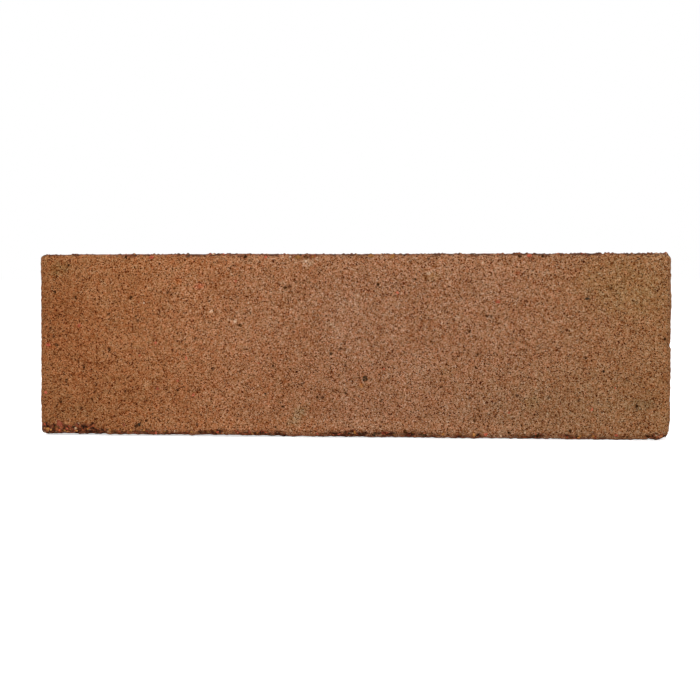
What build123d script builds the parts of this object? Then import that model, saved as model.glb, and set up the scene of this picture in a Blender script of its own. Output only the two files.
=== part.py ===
from build123d import *
import os
import random

# A cored modular face brick: an extruded, wire-cut clay body with a sand coat rolled into one
# long face and both ends, and grains of grit that were mixed into the clay showing at the surface.
# Lengths are in millimetres. The brick lies on its bed: X runs along it, Y from the sanded face
# to the plain back, Z up through the three cores. The origin is the middle of the lower bed.

# Driving dimensions
length = 194.0
width = 92.0
height = 57.0
die_corner_radius = 3.0
bed_arris_radius = 2.0
coat_thickness = 1.0
core_diameter = 36.0
core_spacing = 58.0
core_count = 3

# Grit
grain_gap = 0.6
grain_sink = 0.2
edge_clearance = 1.2
scatter_seed = 41

# Where grains lie in the lower arris: how far in and how far up, as shares of the arris radius
arris_inward_shares = (0.3, 0.6)
arris_upward_shares = (0.4, 0.8)

# Places worked out from the driving dimensions
half_length = length / 2
half_width = width / 2
coat_end = half_width - die_corner_radius
face_length = length - 2 * die_corner_radius
face_width = width - 2 * die_corner_radius
face_height = height - 2 * bed_arris_radius

front_face = Plane(origin=(0, -half_width, height / 2), x_dir=(1, 0, 0), z_dir=(0, -1, 0))
back_face = Plane(origin=(0, half_width, height / 2), x_dir=(-1, 0, 0), z_dir=(0, 1, 0))
left_face = Plane(origin=(-half_length, 0, height / 2), x_dir=(0, -1, 0), z_dir=(-1, 0, 0))
right_face = Plane(origin=(half_length, 0, height / 2), x_dir=(0, 1, 0), z_dir=(1, 0, 0))
upper_bed = Plane(origin=(0, 0, height), x_dir=(1, 0, 0), z_dir=(0, 0, 1))
lower_bed = Plane(origin=(0, 0, 0), x_dir=(1, 0, 0), z_dir=(0, 0, -1))

# The faces with scattered grains: the plane and size of each
scattered_faces = {
    "back": (back_face, face_length, face_height),
    "left": (left_face, face_width, face_height),
    "right": (right_face, face_width, face_height),
    "top": (upper_bed, face_length, face_width),
    "bottom": (lower_bed, face_length, face_width),
}

# Each kind of grit: its smallest and largest grain, its breadth and thickness as shares of its
# length, how many grains are scattered on each face, and how many in the arris between the
# sanded face and the lower bed
grit_kinds = {
    "ironspot_grains": {
        "sizes": (0.9, 1.6),
        "shares": (0.85, 0.75),
        "counts": {"back": 5, "left": 3, "right": 3, "top": 6, "bottom": 6},
        "arris": 4,
    },
    "red_grog_grains": {
        "sizes": (1.1, 2.2),
        "shares": (0.8, 0.65),
        "counts": {"back": 4, "left": 3, "right": 3, "top": 5, "bottom": 5},
        "arris": 5,
    },
    "ochre_sandstone_grains": {
        "sizes": (1.0, 1.7),
        "shares": (0.9, 0.75),
        "counts": {"back": 2, "left": 1, "right": 1, "top": 3, "bottom": 3},
        "arris": 3,
    },
    "quartz_grains": {
        "sizes": (0.8, 1.3),
        "shares": (0.9, 0.8),
        "counts": {"back": 2, "left": 1, "right": 1, "top": 3, "bottom": 3},
        "arris": 2,
    },
    "slag_grains": {
        "sizes": (1.3, 2.1),
        "shares": (0.75, 0.65),
        "counts": {"back": 1, "left": 1, "right": 1, "top": 2, "bottom": 2},
        "arris": 1,
    },
}

# The grains that stand out on the sanded face and its two bed arrises, by kind. Each is given as
# distance right of the face's middle and height above it, to half a millimetre, and length
standout_grains = {
    "slag_grains": (
        (4.5, -10.0, 2.2),
        (-6.0, -2.5, 1.7),
        (72.0, 14.5, 2.0),
        (77.0, -7.5, 1.8),
        (-65.5, -25.0, 1.6),
        (-0.5, -27.5, 1.2),
    ),
    "quartz_grains": (
        (-35.5, 7.5, 1.3),
        (24.0, 22.5, 1.3),
        (26.0, 22.5, 0.9),
        (-43.0, 10.5, 1.0),
        (28.0, 7.0, 1.1),
        (-18.5, 27.5, 1.0),
        (53.5, -26.5, 1.1),
    ),
    "ironspot_grains": (
        (-34.0, 6.0, 1.2),
        (8.5, 19.0, 1.5),
        (-85.5, 15.0, 1.5),
        (-75.0, -1.5, 1.5),
        (-83.0, -7.0, 1.4),
        (41.5, 9.0, 1.6),
        (36.5, 4.5, 1.4),
        (79.0, 17.5, 1.5),
        (-20.0, 18.0, 1.6),
        (-24.0, -6.5, 1.7),
        (-21.0, -19.0, 1.6),
        (87.0, -18.0, 1.7),
        (-87.5, 25.0, 1.1),
        (-92.0, 16.5, 1.2),
        (-68.0, 15.0, 1.2),
        (-66.5, 9.0, 1.3),
        (-55.0, 24.0, 1.0),
        (-54.5, 18.0, 1.2),
        (-91.5, 0.0, 1.1),
        (-88.5, -11.0, 1.1),
        (-53.5, -14.0, 1.2),
        (-90.5, -18.0, 1.4),
        (-80.5, -17.0, 1.1),
        (25.0, 1.5, 1.2),
        (28.0, -8.5, 1.1),
        (28.0, -12.5, 0.9),
        (38.5, -6.5, 1.3),
        (39.0, -2.5, 0.9),
        (-1.5, -14.5, 1.2),
        (9.5, -17.0, 1.2),
        (-10.0, -16.0, 1.2),
        (76.0, 24.0, 1.0),
        (78.5, -1.5, 1.0),
        (71.5, -3.5, 1.0),
        (95.0, 2.5, 1.1),
        (38.0, -23.0, 1.1),
        (-63.5, -24.0, 1.3),
        (-23.0, -25.5, 1.1),
        (17.0, -26.5, 1.1),
        (48.5, -26.5, 1.1),
        (67.0, -26.0, 1.1),
        (-69.5, 27.5, 1.1),
        (-32.5, 27.5, 1.5),
        (-13.5, 27.5, 1.3),
        (51.5, 27.5, 1.0),
        (58.5, 27.5, 1.1),
    ),
    "red_grog_grains": (
        (-91.0, -25.0, 3.4),
        (-85.5, -25.0, 2.6),
        (-70.5, -25.0, 2.4),
        (-60.0, -13.5, 1.7),
        (-48.5, -15.5, 1.6),
        (-51.0, -4.0, 1.4),
        (14.5, 16.5, 1.3),
        (45.0, 13.5, 1.5),
        (73.5, -19.0, 1.5),
        (-84.5, 6.0, 1.2),
        (-94.0, 0.0, 1.3),
        (-60.5, 0.5, 1.2),
        (-95.0, -15.0, 1.2),
        (-28.0, -5.5, 1.1),
        (10.5, -7.0, 1.1),
        (80.5, -12.5, 1.1),
        (41.5, -27.0, 1.6),
        (-61.5, 27.5, 1.7),
        (-26.0, 27.5, 1.3),
        (54.5, 27.5, 1.6),
    ),
    "ochre_sandstone_grains": (
        (6.5, 27.5, 2.0),
        (13.0, 27.0, 1.6),
        (-16.0, 27.0, 1.6),
        (72.5, 22.0, 1.4),
        (3.5, -12.5, 1.0),
        (-64.5, -27.0, 1.0),
        (-68.5, -27.0, 1.0),
        (-75.0, -27.0, 1.1),
        (-94.5, -27.0, 1.1),
        (28.5, -27.0, 1.2),
        (70.0, -27.5, 1.2),
    ),
}

chance = random.Random(scatter_seed)
taken = []


def grain_box(kind, size):
    """Length, breadth and thickness of a grain of one kind."""
    breadth_share, thickness_share = grit_kinds[kind]["shares"]
    return size, size * breadth_share, size * thickness_share


def grain_reach(kind, size):
    """How far a grain's furthest corner is from its centre."""
    return Vector(grain_box(kind, size)).length / 2


def is_clear(centre, reach):
    """True if a grain centred here stays clear of every grain placed before it."""
    return all((centre - other).length > reach + other_reach + grain_gap for other, other_reach in taken)


def crushed_grain(kind, centre, size):
    """One angular grain, turned at random, whose place is then taken."""
    taken.append((centre, grain_reach(kind, size)))
    turn = (chance.uniform(0, 180), chance.uniform(0, 180), chance.uniform(0, 180))
    return Location(centre, turn) * Box(*grain_box(kind, size))


def centre_on(plane, right, up, size):
    """The centre of a grain that lies a little below a face, which then shows a broad cut of it."""
    return plane.from_local_coords((right, up, -grain_sink * size))


def over_core(centre, reach):
    """True if a grain would break into a core or lies over one."""
    room = core_diameter / 2 + reach + edge_clearance
    middles = [(n - (core_count - 1) / 2) * core_spacing for n in range(core_count)]
    return any((centre.X - middle) ** 2 + centre.Y**2 < room**2 for middle in middles)


def face_grains(kind):
    """Grains of one kind scattered over the faces, clear of the edges and of each other."""
    grit = grit_kinds[kind]
    grains = []
    for face_name, count in grit["counts"].items():
        plane, across, tall = scattered_faces[face_name]
        while count > 0:
            size = chance.uniform(*grit["sizes"])
            reach = grain_reach(kind, size)
            right = chance.uniform(-0.5, 0.5) * (across - 2 * edge_clearance)
            up = chance.uniform(-0.5, 0.5) * (tall - 2 * edge_clearance)
            centre = centre_on(plane, right, up, size)
            if is_clear(centre, reach) and not over_core(centre, reach):
                grains.append(crushed_grain(kind, centre, size))
                count -= 1
    return grains


def arris_grains(kind):
    """Grains of one kind scattered along the arris between the sanded face and the lower bed."""
    grit = grit_kinds[kind]
    grains = []
    count = grit["arris"]
    while count > 0:
        size = chance.uniform(*grit["sizes"])
        along = chance.uniform(-0.5, 0.5) * face_length
        inward = bed_arris_radius * chance.uniform(*arris_inward_shares)
        upward = bed_arris_radius * chance.uniform(*arris_upward_shares)
        centre = Vector(along, inward - half_width, upward)
        if is_clear(centre, grain_reach(kind, size)):
            grains.append(crushed_grain(kind, centre, size))
            count -= 1
    return grains


def placed_grains(kind):
    """The grains of one kind that have a known place on the sanded face."""
    return [
        crushed_grain(kind, centre_on(front_face, right, up, size), size)
        for right, up, size in standout_grains[kind]
    ]


# The outside of the whole brick: the die's rounded outline, cut to height, with worn bed edges
with BuildPart() as blank:
    with BuildSketch():
        RectangleRounded(length, width, die_corner_radius)
    extrude(amount=height)
    bed_edges = edges().group_by(Axis.Z)
    fillet(bed_edges[0] + bed_edges[-1], radius=bed_arris_radius)

# The grains with known places come first, so that the others keep clear of them
fixed_grains = {kind: placed_grains(kind) for kind in grit_kinds}
scattered_grains = {kind: arris_grains(kind) + face_grains(kind) for kind in grit_kinds}


def grit_of(kind):
    """All grains of one kind, trimmed flush with the brick's faces as rolling and wire cutting do."""
    with BuildPart() as grit:
        add(fixed_grains[kind] + scattered_grains[kind], clean=False)
        add(blank.part, mode=Mode.INTERSECT, clean=False)
    return grit.part


grit_parts = {kind: grit_of(kind) for kind in grit_kinds}
grains_of_all_kinds = list(grit_parts.values())

# The sand coat's space: a thin band round the sanded face and the ends, up to the back corners
with BuildPart() as coat_band:
    with BuildSketch():
        RectangleRounded(length, width, die_corner_radius)
        RectangleRounded(
            length - 2 * coat_thickness,
            width - 2 * coat_thickness,
            die_corner_radius - coat_thickness,
            mode=Mode.SUBTRACT,
        )
        with Locations((0, coat_end)):
            Rectangle(length, width, align=(Align.CENTER, Align.MIN), mode=Mode.SUBTRACT)
    extrude(amount=height)

# The sanded long face, with both rounded corners
with BuildPart() as front_sand_coat:
    add(coat_band.part)
    with BuildSketch():
        with Locations((0, -coat_end)):
            Rectangle(length, die_corner_radius, align=(Align.CENTER, Align.MAX))
    extrude(amount=height, mode=Mode.INTERSECT)
    add(blank.part, mode=Mode.INTERSECT)
    add(grains_of_all_kinds, mode=Mode.SUBTRACT, clean=False)


def end_sand_coat(side):
    """The sand on one end face. side is -1 for the left end and 1 for the right."""
    with BuildPart() as end_coat:
        add(coat_band.part)
        with BuildSketch():
            with Locations((side * half_length, 0)):
                Rectangle(2 * die_corner_radius, 2 * coat_end)
        extrude(amount=height, mode=Mode.INTERSECT)
        add(blank.part, mode=Mode.INTERSECT)
        add(grains_of_all_kinds, mode=Mode.SUBTRACT, clean=False)
    return end_coat.part


# The fired clay: everything inside the sand coat, less the three cores and a socket for each grain
with BuildPart() as clay_body:
    add(blank.part)
    add(coat_band.part, mode=Mode.SUBTRACT)
    with BuildSketch():
        with GridLocations(core_spacing, 0, core_count, 1):
            Circle(core_diameter / 2)
    extrude(amount=height, mode=Mode.SUBTRACT)
    add(grains_of_all_kinds, mode=Mode.SUBTRACT, clean=False)

pieces = {
    "clay_body": clay_body.part,
    "front_sand_coat": front_sand_coat.part,
    "left_end_sand_coat": end_sand_coat(-1),
    "right_end_sand_coat": end_sand_coat(1),
    **grit_parts,
}

os.makedirs("parts", exist_ok=True)
for name, piece in pieces.items():
    piece.label = name
    export_step(piece, f"parts/{name}.step")
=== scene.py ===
import math

import bmesh
import bpy
import numpy as np
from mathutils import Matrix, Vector
from mathutils.geometry import delaunay_2d_cdt

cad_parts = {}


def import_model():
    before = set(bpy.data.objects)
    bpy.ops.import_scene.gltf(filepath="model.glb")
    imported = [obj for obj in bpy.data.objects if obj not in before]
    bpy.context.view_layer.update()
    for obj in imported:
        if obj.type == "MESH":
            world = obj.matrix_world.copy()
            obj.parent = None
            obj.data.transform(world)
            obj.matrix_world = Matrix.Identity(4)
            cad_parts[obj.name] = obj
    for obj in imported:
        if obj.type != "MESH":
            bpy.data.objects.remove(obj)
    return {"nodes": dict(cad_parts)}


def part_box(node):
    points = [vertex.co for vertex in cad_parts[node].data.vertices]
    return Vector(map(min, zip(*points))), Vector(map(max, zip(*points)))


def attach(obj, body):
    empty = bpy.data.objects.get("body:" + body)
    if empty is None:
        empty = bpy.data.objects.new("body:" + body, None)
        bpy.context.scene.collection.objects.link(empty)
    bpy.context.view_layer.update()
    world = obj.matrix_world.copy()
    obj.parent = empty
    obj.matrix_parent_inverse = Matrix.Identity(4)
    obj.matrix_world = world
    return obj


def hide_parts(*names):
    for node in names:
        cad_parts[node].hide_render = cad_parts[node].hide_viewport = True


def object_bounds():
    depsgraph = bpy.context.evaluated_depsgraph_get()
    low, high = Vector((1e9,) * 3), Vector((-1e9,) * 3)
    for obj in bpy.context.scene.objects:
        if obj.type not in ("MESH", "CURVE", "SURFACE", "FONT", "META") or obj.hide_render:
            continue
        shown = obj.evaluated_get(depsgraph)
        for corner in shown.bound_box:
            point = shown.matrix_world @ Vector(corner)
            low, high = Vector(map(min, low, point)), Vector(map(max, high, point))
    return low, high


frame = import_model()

# A cored, sand-faced clay brick on its bed. Shapes are worked out in millimetres in the frame's
# own axes: X along the brick, -Y out of the sanded face and Z up.
MM = 0.001
cad_low, cad_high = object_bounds()

# ---- dimensions ----

LENGTH, WIDTH, HEIGHT = ((high - low) / MM for low, high in zip(cad_low, cad_high))
HALF_LENGTH, HALF_WIDTH = LENGTH / 2, WIDTH / 2
END_COAT_LOW, END_COAT_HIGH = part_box("left_end_sand_coat")
COAT = (END_COAT_HIGH.x - END_COAT_LOW.x) / MM
DIE_RADIUS = HALF_WIDTH - END_COAT_HIGH.y / MM
BED_RADIUS = 2.0
CORE_RADIUS = 18.0
CORE_SPACING = 58.0
CORE_COUNT = 3
MOUTH_RADIUS = 1.0

# Mesh pitches, finest on the sanded face
FRONT_PITCH = 0.345
END_PITCH = 0.5
BACK_PITCH = 0.85
BED_PITCH = 0.9
CORE_PITCH = 1.05
MOUTH_PITCH = 0.4
HIDDEN_PITCH = 6.0

# ---- repeatable random fields ----

PRIMES = np.array([73856093, 19349663, 83492791], np.uint64)
SCRAMBLERS = (0xFF51AFD7ED558CCD, 0xC4CEB9FE1A85EC53)


def smooth(start, end, value):
    """0 before start, 1 after end, and a soft step between them."""
    t = np.clip((value - start) / (end - start), 0, 1)
    return t * t * (3 - 2 * t)


def scatter(cell, seed):
    """A repeatable random number from 0 to 1 for each row of whole-number cell coordinates."""
    code = (cell.astype(np.int64).astype(np.uint64) * PRIMES).sum(axis=-1)
    code ^= np.uint64(seed * 2654435761 % 2**32)
    for factor in SCRAMBLERS:
        code = (code ^ (code >> np.uint64(33))) * np.uint64(factor)
    return (code >> np.uint64(11)) / 2**53


def noise(points, size, seed):
    """A smooth random field from -1 to 1 whose features are about size mm across."""
    scaled = points / np.asarray(size, float)
    cell = np.floor(scaled)
    part = scaled - cell
    part = part * part * (3 - 2 * part)
    total = np.zeros(len(points))
    for corner in np.ndindex(2, 2, 2):
        share = np.where(corner, part, 1 - part).prod(axis=1)
        total += share * scatter(cell + corner, seed)
    return 2 * total - 1


def nearest_spot(points, size, seed):
    """How far the nearest of many spots is, where each cube of size mm holds one, and its random
    number from 0 to 1."""
    scaled = points / size
    cell = np.floor(scaled)
    nearest = np.full(len(points), np.inf)
    number = np.zeros(len(points))
    for step in np.ndindex(3, 3, 3):
        home = cell + step - 1
        place = np.stack([scatter(home, seed + axis) for axis in (1, 2, 3)], axis=1)
        distance = np.linalg.norm(scaled - home - place, axis=1) * size
        closer = distance < nearest
        nearest[closer] = distance[closer]
        number[closer] = scatter(home, seed)[closer]
    return nearest, number


def layered(points, layers, seed):
    """The sum of several fields, each given as its feature size and its height."""
    return sum(height * noise(points, size, seed + n) for n, (size, height) in enumerate(layers))


# ---- the ideal brick ----

ARC = DIE_RADIUS * math.pi / 2
STRAIGHTS = np.array([LENGTH, WIDTH, LENGTH, WIDTH]) - 2 * DIE_RADIUS
SIDES = STRAIGHTS + ARC
SIDE_ENDS = np.cumsum(SIDES)
OUTLINE = SIDE_ENDS[-1]
CORNER_CENTRES = (np.array([LENGTH, WIDTH]) / 2 - DIE_RADIUS) * [[-1, -1], [1, -1], [1, 1], [-1, 1]]
CORNER_TURNS = np.radians([180, 270, 0, 90])
FRONT_END = SIDE_ENDS[0] + ARC
RIGHT_END = SIDE_ENDS[1]
BACK_END = SIDE_ENDS[2] + ARC

EDGE = BED_RADIUS * math.pi / 2
PROFILE = HEIGHT - 2 * BED_RADIUS + 2 * EDGE
COAT_EDGE = EDGE - BED_RADIUS * math.acos(1 - COAT / BED_RADIUS)


def outline(along, inset):
    """Plan points inset from the brick's outline, and its outward normals. along runs anticlockwise
    from the left end's front corner."""
    along = np.asarray(along, float) % OUTLINE
    side = np.searchsorted(SIDE_ENDS, along, side="right")
    local = along - (SIDE_ENDS - SIDES)[side]
    angle = CORNER_TURNS[side] + np.minimum(local / DIE_RADIUS, math.pi / 2)
    normal = np.stack([np.cos(angle), np.sin(angle)], axis=1)
    forward = np.stack([-np.sin(angle), np.cos(angle)], axis=1)
    run = np.maximum(local - ARC, 0)
    plan = CORNER_CENTRES[side] + (DIE_RADIUS - inset)[:, None] * normal + run[:, None] * forward
    return plan, normal


def profile(up):
    """Inset, height and slope of the brick's side, where up runs along it from the lower bed."""
    slope = np.clip(up, 0, EDGE) / BED_RADIUS + np.clip(up - PROFILE + EDGE, 0, EDGE) / BED_RADIUS
    slope = slope - math.pi / 2
    straight = np.clip(up - EDGE, 0, PROFILE - 2 * EDGE)
    return BED_RADIUS * (1 - np.cos(slope)), BED_RADIUS * (1 + np.sin(slope)) + straight, slope


def ideal_side(along, up):
    """Points and normals of the ideal brick's sides and rounded bed edges."""
    inset, height, slope = profile(up)
    plan, outward = outline(along, inset)
    base = np.column_stack([plan, height])
    return base, np.column_stack([outward * np.cos(slope)[:, None], np.sin(slope)])


def ideal_bed(plan, upper):
    """Points and normals of one bed."""
    base = np.column_stack([plan, np.full(len(plan), HEIGHT if upper else 0.0)])
    return base, np.tile([0.0, 0.0, 1.0 if upper else -1.0], (len(plan), 1))


CORE_STRAIGHT = HEIGHT - 2 * MOUTH_RADIUS
CORE_EDGE = MOUTH_RADIUS * math.pi / 2
CORE_PROFILE = CORE_STRAIGHT + 2 * CORE_EDGE
CORE_MIDDLES = [(n - (CORE_COUNT - 1) / 2) * CORE_SPACING for n in range(CORE_COUNT)]


def ideal_core(middle, angle, up):
    """Points and normals of one core's wall and its two mouths, where up runs along them."""
    turn = np.clip(up, 0, CORE_EDGE) + np.clip(up - CORE_PROFILE + CORE_EDGE, 0, CORE_EDGE)
    slope = turn / MOUTH_RADIUS - math.pi / 2
    radius = CORE_RADIUS + MOUTH_RADIUS * (1 - np.cos(slope))
    height = MOUTH_RADIUS * (1 + np.sin(slope)) + np.clip(up - CORE_EDGE, 0, CORE_STRAIGHT)
    round_it = np.column_stack([np.cos(angle), np.sin(angle)])
    base = np.column_stack([round_it * radius[:, None] + [middle, 0], height])
    return base, np.column_stack([-round_it * np.cos(slope)[:, None], np.sin(slope)])


# ---- the grains of grit ----

# Each kind's darkest and lightest colour, roughness and specular level
GRIT_LOOKS = {
    "ironspot_grains": ((30, 15, 5), (72, 44, 22), 0.90, 0.0),
    "red_grog_grains": ((152, 62, 42), (202, 114, 86), 0.95, 0.05),
    "ochre_sandstone_grains": ((142, 88, 42), (198, 142, 84), 0.95, 0.05),
    "quartz_grains": ((174, 130, 96), (224, 192, 160), 0.80, 0.15),
    "slag_grains": ((34, 28, 20), (78, 66, 50), 0.90, 0.0),
}


def loose_solids(node):
    """The lowest and highest corner of each separate solid of a CAD node, in mm."""
    mesh = frame["nodes"][node].data
    points = np.empty(len(mesh.vertices) * 3)
    mesh.vertices.foreach_get("co", points)
    points = points.reshape(-1, 3) / MM
    _, same = np.unique(np.round(points, 3), axis=0, return_inverse=True)
    same = same.ravel()
    edges = np.empty(len(mesh.edges) * 2, np.int64)
    mesh.edges.foreach_get("vertices", edges)
    first, second = same[edges.reshape(-1, 2)].T
    label, before = np.arange(same.max() + 1), None
    while not np.array_equal(label, before):
        before = label.copy()
        lowest = np.minimum(label[first], label[second])
        np.minimum.at(label, first, lowest)
        np.minimum.at(label, second, lowest)
    solids = [points[label[same] == group] for group in np.unique(label)]
    return [(solid.min(axis=0), solid.max(axis=0)) for solid in solids]


def resting_place(centre):
    """The point of the ideal brick's surface that is nearest to a grain, and the way out of it."""
    middle = np.array([0, 0, HEIGHT / 2])
    inner = np.array([HALF_LENGTH, HALF_WIDTH, HEIGHT / 2]) - BED_RADIUS
    nearest = np.clip(centre - middle, -inner, inner)
    away = centre - middle - nearest
    outward = away / np.linalg.norm(away)
    return nearest + middle + outward * BED_RADIUS, outward


grains = {node: loose_solids(node) for node in GRIT_LOOKS}
ALL_GRAINS = [
    ((low + high) / 2, np.linalg.norm(high - low) / 2 / math.sqrt(3))
    for solids in grains.values()
    for low, high in solids
]

# ---- the surface as it really is ----

# Relief, as layers of (feature size, height)
SAND_LAYERS = ((46, 0.12), (11, 0.05), (4, 0.04), (1.6, 0.05), (0.8, 0.07))
BED_LAYERS = (((40, 70, 40), 0.14), ((1.5, 13, 1.5), 0.10), ((0.9, 5, 0.9), 0.06), (1.6, 0.05))
BACK_LAYERS = ((34, 0.12), ((2.5, 2.5, 40), 0.05), ((1.2, 1.2, 16), 0.03), (1.8, 0.02))
CORE_LAYERS = ((20, 0.15), ((3.0, 3.0, 40), 0.10), ((1.4, 1.4, 12), 0.06), (2.0, 0.04))
TORN_LAYERS = ((7, 0.16), (2.6, 0.17), (1.3, 0.17), (0.8, 0.12))
ARRIS_LAYERS = ((2.4, 0.08), (1.2, 0.10), (0.7, 0.08))
MOUTH_LAYERS = ((4, 0.22), (1.6, 0.14))
EDGE_RAGGEDNESS = ((9, 0.55), (3, 0.75), (1.2, 0.6))
STAIN_RAGGEDNESS = ((1.5, 0.30), (0.7, 0.25))
# LIP_SHADE breaks up the painted shade along the sanded face's upper edge
LIP_SHADE = ((16, 0.6), (2.6, 0.6), (0.9, 0.6))

# Rounded bumps, as their spacing and their radius as a share of it, and their heights. The burr is
# what the wire has dragged up along the sanded face's edge of the upper bed
SAND_BUMPS, CRUMB_BUMPS, BURR_BUMPS = (0.85, 0.75), (1.5, 0.8), (0.85, 0.7)
SAND_HEIGHT, CRUMB_HEIGHT, BURR_HEIGHT = 0.06, 0.30, 0.48

# Scattered pits: spacing, smallest radius, how much larger they get, and how sharp their rims are
PITS = (7.0, 0.45, 0.9, 0.35)
DRAGGED_PITS = (5.0, 0.5, 0.8, 0.4)
DRAG_STRETCH = (1, 0.28, 1)
PITLESS_SHARE = 0.45
END_PIT, BACK_PIT, BED_PIT, CORE_PIT, DRAGGED_PIT = 0.24, 0.25, 0.35, 0.30, 0.45

# How deep torn clay lies, how much deeper its chips are, and how wide
TORN_DEPTH, CHIP_DEPTH, CHIP_SIZE = 0.34, 0.45, 6.5
# How far torn clay reaches from a bed's sharp edge, how much further at the two ends of the sanded
# face's lower edge, and where it grows there
TORN_FRONT_LOW, TORN_FRONT_HIGH, TORN_ELSEWHERE = 1.35, 0.8, 1.5
TORN_LOW_LEFT, TORN_LOW_RIGHT = 2.0, 1.4
TORN_LEFT_STRETCH, TORN_RIGHT_STRETCH = (-66, -90), (91, 97)
TORN_SOFTNESS = 0.35

# How the ends lean, how the sanded face's upper edge sags and how its lower edge rises: at the
# right, and how much more at the foot or at the left
LEAN_RIGHT, LEAN_RIGHT_FOOT, LEAN_LEFT_FOOT = 0.10, 0.15, 0.30
SAG, SAG_LEFT = 0.42, 0.22
RISE, RISE_LEFT = 0.22, 0.30

# How far the front's left corners stand out, and how deep the right one's foot is chipped
SHARP_TOP_LEFT, SHARP_FOOT_LEFT, CHIPPED_FOOT_RIGHT = 0.12, 0.5, 0.75
# The notch in the right edge: place along, height above the middle, size and depth
NOTCH = (HALF_LENGTH, 0.3, 0.8, 0.30)

# Depths of specks and of grains' sockets, and the radius, as a share, and width of a socket's rim
SPECK_DEPTH, SOCKET_DEPTH = 0.22, 0.08
SOCKET, SOCKET_RIM, SOCKET_ROOM = 0.75, 0.22, 0.8

# Stains on the sanded face, a painted highlight along its upper edge and a brighter strip along
# its lower edge: right of its middle and above it to half a millimetre, length, breadth, turn in
# degrees, and tint
STAINS_AND_PAINTED_LIGHT = (
    (62, -17, 84, 30, 5, (0.92, 0.97, 0.96)),
    (-88, 2, 30, 44, 10, (1, 0.95, 0.93)),
    (-86, -20, 34, 18, 10, (0.94, 0.94, 0.92)),
    (82, 18, 40, 26, 350, (0.96, 1.02, 0.94)),
    # A painted highlight along the upper edge, then a brighter strip along the lower edge
    (-4, 25, 200, 9, 0, (1.07, 1.06, 1.05)),
    (-4, -24.5, 200, 6, 0, (1.09, 1.09, 1.07)),
    (-16, -21.5, 13, 5.5, 55, (1, 1.28, 1.38)),
    (-13, 26, 5.5, 3.5, 5, (1.2, 1.6, 2)),
    (25, 21.5, 7.5, 4, 10, (1.01, 1.04, 0.93)),
    (23, 17, 3.5, 3, 0, (0.86, 0.89, 0.9)),
    (-90.5, 24, 9, 6.5, 20, (0.82, 0.92, 0.86)),
    (88, -17.5, 13, 7, 10, (0.84, 0.93, 0.95)),
    (29.5, -8, 9, 6, 70, (0.97, 1.02, 0.98)),
    (55.5, -17, 8, 5.5, 15, (0.91, 0.94, 0.86)),
    (-46.5, 18.5, 5, 2.5, 5, (1.3, 0.95, 1)),
    (51, 22.5, 2.5, 2, 35, (0.85, 0.45, 0.3)),
    (-53.5, 20, 4, 2.5, 10, (1.1, 0.85, 0.65)),
    (3.5, -12, 2, 2, 0, (1.15, 0.95, 0.6)),
    (-84.5, 6, 2.5, 2, 30, (1.2, 0.9, 0.85)),
    (-94, 0, 2, 3, 0, (1.2, 0.8, 0.65)),
    (28, 7, 2, 1.5, 0, (1.25, 1.15, 1.15)),
    (-43, 10.5, 2, 1.5, 320, (1.35, 1.3, 1.25)),
)

# Dark specks on the sanded face, small pits darkened with painted shade: right of its middle and above
# it to half a millimetre, and width
DARK_SPECKS = (
    (-93.5, 5, 1), (-92.5, 2.5, 1), (-84, -20, 1), (-75, 9.5, 0.9),
    (-70, -14.5, 1.1), (-66, 7.5, 1.1), (-66.5, -25.5, 1.6), (-56.5, 16.5, 1),
    (-48, 2, 0.9), (-47.5, -25, 1.1), (-42.5, -7.5, 1), (-18.5, 18.5, 1.2),
    (-8.5, -16, 1.3), (-3, -1, 1), (-1.5, -6, 0.9), (24, 27, 1),
    (36.5, -16, 0.9), (43, 9, 1), (44.5, -17.5, 0.9), (51, -15, 1),
    (60.5, -15.5, 0.9), (69.5, -16.5, 1), (76.5, -20, 0.9),
)
SPECK_LENGTH, SPECK_TURN = 1.3, 40


def near_face(base, far, near):
    """1 close behind the plane of the sanded face, and 0 further behind it than far."""
    return smooth(far, near, base[:, 1] + HALF_WIDTH)


def bumps(base, spacing, reach, seed):
    """Rounded bumps, one in each cell: 1 on a bump's top, 0 outside it. Also its random number."""
    distance, kind = nearest_spot(base, spacing, seed)
    return np.clip(1 - (distance / (reach * spacing)) ** 2, 0, 1), kind


def pits(base, settings, seed):
    """Scattered round pits: 1 in a pit's middle, 0 outside it."""
    spacing, smallest, growth, sharpness = settings
    distance, kind = nearest_spot(base, spacing, seed)
    return (kind > PITLESS_SHARE) * smooth(1.0, sharpness, distance / (smallest + growth * kind))


def oval(right, up, length, breadth, turn, base):
    """How far inside an oval on the sanded face each point is: 1 at its middle, 0 outside."""
    turn = math.radians(turn)
    across, tall = base[:, 0] - right, base[:, 2] - HEIGHT / 2 - up
    first = (across * math.cos(turn) + tall * math.sin(turn)) / (length / 2)
    second = (tall * math.cos(turn) - across * math.sin(turn)) / (breadth / 2)
    return np.clip(1 - np.hypot(first, second), 0, 1)


def front_marks(base, front):
    """The tint of the stains on the sanded face, with its painted highlight, and how deep in a speck
    each point is.
    """
    tint = np.ones((len(base), 3))
    ragged = layered(base, STAIN_RAGGEDNESS, 301)
    for right, up, length, breadth, turn, colour in STAINS_AND_PAINTED_LIGHT:
        inside = oval(right, up, length, breadth, turn, base) * (1 + ragged) + 0.2 * ragged
        share = front * smooth(0.0, 0.75, inside)
        tint *= 1 + share[:, None] * (np.array(colour) - 1)
    speck = np.zeros(len(base))
    for right, up, width in DARK_SPECKS:
        inside = oval(right, up, width * SPECK_LENGTH, width, right * SPECK_TURN, base)
        speck = np.maximum(speck, smooth(0.0, 0.5, inside * (1 + ragged)))
    return tint, speck * front


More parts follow.
